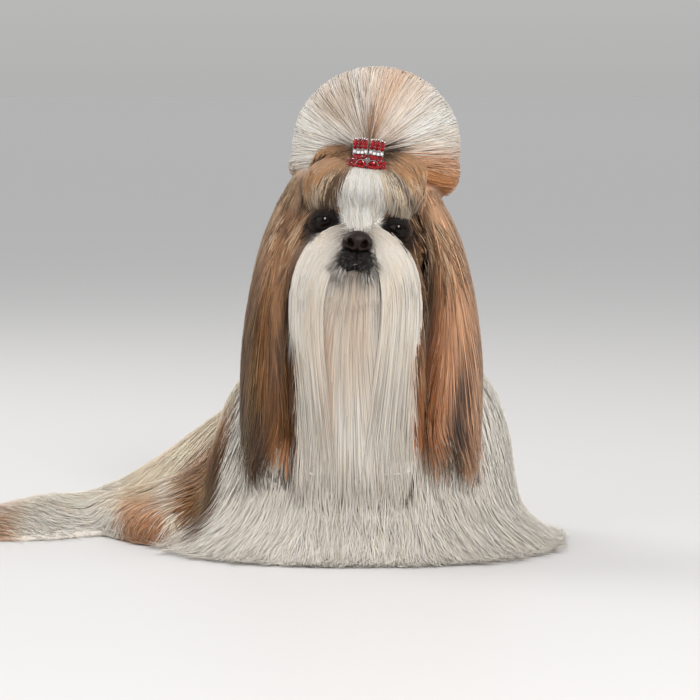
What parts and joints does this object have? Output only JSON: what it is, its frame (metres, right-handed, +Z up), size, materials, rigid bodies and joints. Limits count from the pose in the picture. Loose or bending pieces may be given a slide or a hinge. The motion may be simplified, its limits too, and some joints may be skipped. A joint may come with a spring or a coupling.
{
  "type": "shih tzu",
  "caption": "Shih tzu in a floor-length show coat, lying on its chest with its head up, its forehead hair gathered in a topknot by jewelled barrettes.",
  "frame": {"origin": "middle of the bounding box's underside, on the floor the dog lies on", "axes": "+Z up, the dog's face looks along -Y, its left ear is towards +X and its tail lies towards -X"},
  "size_m": [0.496, 0.3366, 0.3739],
  "materials": {
    "white_coat": "long silky hair, white to cream",
    "gold_coat": "long silky hair, gold and tan",
    "brown_coat": "long silky hair, red-brown with dark streaks",
    "nose_skin": "moist dark nose leather",
    "eye": "wet and very dark brown",
    "silver": "bright polished plate",
    "red_stone": "faceted red crystal",
    "clear_stone": "clear rhinestones in a silver row"
  },
  "bodies": {
    "root": {"head": "brown_coat", "forehead": "gold_coat", "muzzle": "white_coat", "nose": "nose_skin", "beard": "white_coat", "topknot": "white_coat", "ear_left": "brown_coat", "ear_right": "brown_coat", "eye_left": "eye", "eye_right": "eye", "neck": "white_coat", "chest": "white_coat", "trunk": "white_coat", "rump": "gold_coat", "foreleg_left": "white_coat", "foreleg_right": "white_coat", "hind_leg_left": "white_coat", "hind_leg_right": "gold_coat", "tail": "gold_coat", "barrette_left_plate": "silver", "barrette_left_stone_upper": "red_stone", "barrette_left_stone_lower": "red_stone", "barrette_left_beads": "clear_stone", "barrette_right_plate": "silver", "barrette_right_stone_upper": "red_stone", "barrette_right_stone_lower": "red_stone", "barrette_right_beads": "clear_stone"}
  },
  "joints": []
}
